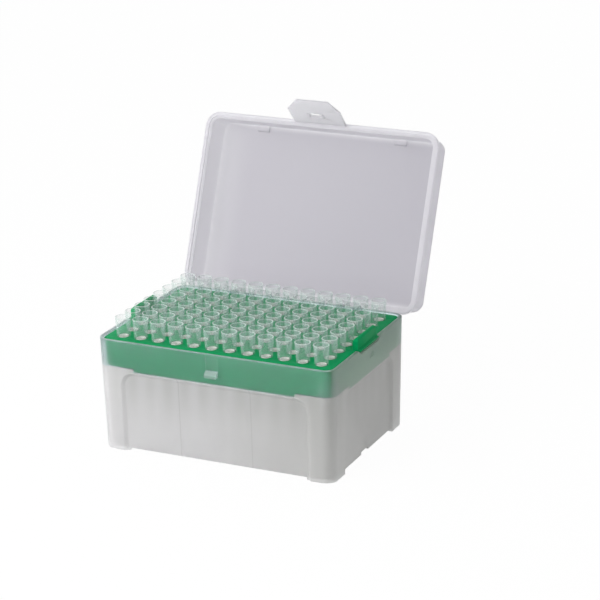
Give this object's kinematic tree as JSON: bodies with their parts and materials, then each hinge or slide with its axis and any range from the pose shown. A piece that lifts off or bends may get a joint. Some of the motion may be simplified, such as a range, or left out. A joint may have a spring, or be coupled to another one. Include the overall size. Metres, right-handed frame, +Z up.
{
  "type": "pipette tip rack box",
  "caption": "Hinged frosted laboratory box with a coloured drop-in tray that holds disposable pipette tips upright in a standard 9 mm grid; the lid has a snap-hinge and a front latch tab.",
  "frame": {"origin": "on the table plane under the middle of the box's four corner feet", "axes": "+X along the box's long side, -Y towards the latch (front), +Y towards the hinges, +Z up"},
  "size_m": [0.1214, 0.1362, 0.1429],
  "materials": {
    "base_frosted": "frosted translucent polypropylene, satin",
    "lid_frosted": "frosted translucent polypropylene, satin",
    "tray_green": "opaque green polypropylene, satin gloss",
    "tip_clear": "clear natural polypropylene, slightly hazy"
  },
  "bodies": {
    "box": {"base_box": "base_frosted", "tip_tray": "tray_green", "tips_column_01_rows_a_d": "tip_clear", "tips_column_01_rows_e_h": "tip_clear", "tips_column_02_rows_a_d": "tip_clear", "tips_column_02_rows_e_h": "tip_clear", "tips_column_03_rows_a_d": "tip_clear", "tips_column_03_rows_e_h": "tip_clear", "tips_column_04_rows_a_d": "tip_clear", "tips_column_04_rows_e_h": "tip_clear", "tips_column_05_rows_a_d": "tip_clear", "tips_column_05_rows_e_h": "tip_clear", "tips_column_06_rows_a_d": "tip_clear", "tips_column_06_rows_e_h": "tip_clear", "tips_column_07_rows_a_d": "tip_clear", "tips_column_07_rows_e_h": "tip_clear", "tips_column_08_rows_a_d": "tip_clear", "tips_column_08_rows_e_h": "tip_clear", "tips_column_09_rows_a_d": "tip_clear", "tips_column_09_rows_e_h": "tip_clear", "tips_column_10_rows_a_d": "tip_clear", "tips_column_10_rows_e_h": "tip_clear", "tips_column_11_rows_a_d": "tip_clear", "tips_column_11_rows_e_h": "tip_clear", "tips_column_12_rows_a_d": "tip_clear", "tips_column_12_rows_e_h": "tip_clear"},
    "lid_body": {"lid": "lid_frosted"},
    "latch_body": {"latch_tab": "lid_frosted"}
  },
  "joints": [
    {"name": "lid_hinge", "type": "hinge", "parent": "box", "child": "lid_body", "pos_m": [0, 0.04421, 0.0502], "axis": [1, 0, 0], "range_deg": [0, 112.5]},
    {"name": "latch_hinge", "type": "hinge", "parent": "lid_body", "child": "latch_body", "pos_m": [0, 0.07848, 0.12953], "axis": [1, 0, 0], "range_deg": [-60, 24.6], "stiffness_Nm_per_rad": 0.002}
  ]
}
